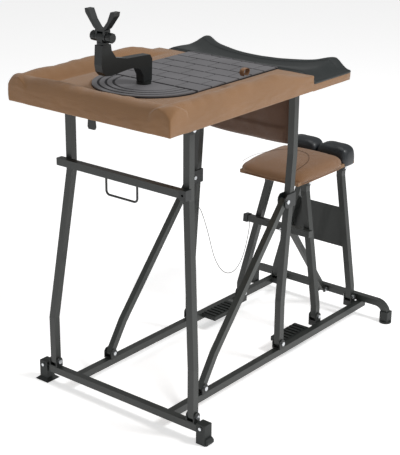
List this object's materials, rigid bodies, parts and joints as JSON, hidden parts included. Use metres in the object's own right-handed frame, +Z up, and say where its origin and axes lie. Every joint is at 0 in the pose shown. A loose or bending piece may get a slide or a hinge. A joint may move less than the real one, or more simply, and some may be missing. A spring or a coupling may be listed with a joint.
{
  "type": "folding shooting bench",
  "caption": "Folding bench with a padded tray top, belly cut-out, swivelling yoke rest and attached seat on a parallelogram tube frame, for shooting while seated.",
  "frame": {"origin": "on the floor under the middle of the bench", "axes": "+Z up, +Y from the table towards the seat, X across the bench with its near-mirror plane at x = 0"},
  "size_m": [0.558, 0.97, 0.983],
  "materials": {
    "frame_grey": "satin powder coat",
    "brace_grey": "satin powder coat",
    "bracket_black": "matte",
    "zinc": "zinc plated",
    "black_rubber": "matte",
    "grey_rubber": "matte",
    "black_plastic": "moulded satin",
    "tan_fabric": "woven polyester",
    "brown_fabric": "woven polyester",
    "black_vinyl": "smooth vinyl",
    "board": "plywood",
    "cable": "dark coated wire"
  },
  "bodies": {
    "base": {"front_tube": "frame_grey", "side_rail_left": "frame_grey", "side_rail_right": "frame_grey", "rear_tube": "frame_grey", "front_foot_left": "black_rubber", "front_foot_right": "black_rubber", "rear_foot_left": "black_rubber", "rear_foot_right": "black_rubber", "leg_brackets": "bracket_black", "brace_brackets": "bracket_black", "seat_brackets": "bracket_black", "base_pivot_bolts": "zinc", "foot_bolts": "zinc", "foot_pad_left": "black_rubber", "foot_pad_right": "black_rubber", "strut_lug": "bracket_black"},
    "front_legs": {"front_leg_left": "frame_grey", "front_leg_right": "frame_grey", "front_crossbar": "frame_grey", "crossbar_knuckle": "black_plastic", "carry_handle": "frame_grey"},
    "rear_legs": {"rear_leg_left": "frame_grey", "rear_leg_right": "frame_grey", "brace_clips": "black_plastic", "clip_bolts": "zinc", "lanyard": "cable"},
    "left_brace": {"brace_left": "brace_grey"},
    "right_brace": {"brace_right": "brace_grey"},
    "table": {"table_board": "board", "table_cover": "tan_fabric", "mat": "grey_rubber", "belly_pad": "black_vinyl", "pouch": "brown_fabric", "rim_loop": "tan_fabric", "table_brackets": "bracket_black", "table_bolts": "zinc", "pull_tab": "black_plastic", "rest_base": "black_plastic"},
    "clamp_screw": {"rest_screw": "black_plastic"},
    "rest_arm": {"rest_arm": "black_plastic"},
    "turret": {"rest_turret": "black_plastic", "rest_bolt": "zinc"},
    "yoke": {"rest_yoke": "black_plastic"},
    "left_knob": {"rest_knob_left": "black_plastic"},
    "right_knob": {"rest_knob_right": "black_plastic"},
    "seat_front_legs": {"seat_leg_front_left": "frame_grey", "seat_leg_front_right": "frame_grey", "seat_crossbar": "frame_grey", "seat_latch": "black_plastic", "hitch_pin": "zinc"},
    "seat_rear_legs": {"seat_leg_rear_left": "frame_grey", "seat_leg_rear_right": "frame_grey", "back_panel": "frame_grey"},
    "seat": {"seat_board": "board", "seat_cushion": "tan_fabric", "seat_lobe_left": "black_vinyl", "seat_lobe_right": "black_vinyl", "seat_top_brackets": "bracket_black", "seat_top_bolts": "zinc"},
    "strut": {"seat_strut": "frame_grey"}
  },
  "joints": [
    {"name": "bench_fold", "type": "hinge", "parent": "base", "child": "front_legs", "pos_m": [0, -0.383, 0.06], "axis": [1, 0, 0], "range_deg": [0, 75]},
    {"name": "table_level", "type": "hinge", "parent": "front_legs", "child": "table", "pos_m": [0, -0.349, 0.735], "axis": [1, 0, 0], "range_deg": [-75, 0]},
    {"name": "rear_leg_fold", "type": "hinge", "parent": "base", "child": "rear_legs", "pos_m": [0, 0.062, 0.06], "axis": [1, 0, 0], "range_deg": [0, 75], "deforming": ["lanyard"]},
    {"name": "left_brace_fold", "type": "hinge", "parent": "base", "child": "left_brace", "pos_m": [0.15, -0.26, 0.06], "axis": [1, 0, 0], "range_deg": [0, 127.5]},
    {"name": "right_brace_fold", "type": "hinge", "parent": "base", "child": "right_brace", "pos_m": [-0.15, -0.26, 0.06], "axis": [1, 0, 0], "range_deg": [0, 127.5]},
    {"name": "clamp_screw_turn", "type": "hinge", "parent": "table", "child": "clamp_screw", "pos_m": [0.036, -0.291, 0.72], "axis": [0, 0, 1], "continuous": true},
    {"name": "rest_swing", "type": "hinge", "parent": "table", "child": "rest_arm", "pos_m": [0, -0.291, 0.803], "axis": [0, 0, 1], "range_deg": [-40, 40]},
    {"name": "yoke_swivel", "type": "hinge", "parent": "rest_arm", "child": "turret", "pos_m": [0, -0.424, 0.908], "axis": [0, 0, 1], "range_deg": [-60, 60]},
    {"name": "yoke_tilt", "type": "hinge", "parent": "turret", "child": "yoke", "pos_m": [0, -0.424, 0.925], "axis": [1, 0, 0], "range_deg": [-20, 20]},
    {"name": "left_knob_turn", "type": "hinge", "parent": "turret", "child": "left_knob", "pos_m": [0.022, -0.424, 0.925], "axis": [1, 0, 0], "continuous": true},
    {"name": "right_knob_turn", "type": "hinge", "parent": "turret", "child": "right_knob", "pos_m": [-0.022, -0.424, 0.925], "axis": [1, 0, 0], "continuous": true},
    {"name": "seat_fold", "type": "hinge", "parent": "base", "child": "seat_front_legs", "pos_m": [0, 0.265, 0.06], "axis": [1, 0, 0], "range_deg": [0, 60]},
    {"name": "seat_level", "type": "hinge", "parent": "seat_front_legs", "child": "seat", "pos_m": [0, 0.295, 0.426], "axis": [1, 0, 0], "range_deg": [-60, 0]},
    {"name": "seat_rear_leg_fold", "type": "hinge", "parent": "base", "child": "seat_rear_legs", "pos_m": [0, 0.441, 0.06], "axis": [1, 0, 0], "range_deg": [0, 60]},
    {"name": "strut_fold", "type": "hinge", "parent": "base", "child": "strut", "pos_m": [0.03, 0.45, 0.054], "axis": [1, 0, 0], "range_deg": [0, 42]}
  ],
  "couplings": [
    {"joint": "table_level", "follows": "bench_fold", "ratio": -1},
    {"joint": "rear_leg_fold", "follows": "bench_fold", "ratio": 1},
    {"joint": "left_brace_fold", "follows": "bench_fold", "ratio": 1.7},
    {"joint": "right_brace_fold", "follows": "bench_fold", "ratio": 1.7},
    {"joint": "seat_level", "follows": "seat_fold", "ratio": -1},
    {"joint": "seat_rear_leg_fold", "follows": "seat_fold", "ratio": 1},
    {"joint": "strut_fold", "follows": "seat_fold", "ratio": 0.7}
  ]
}
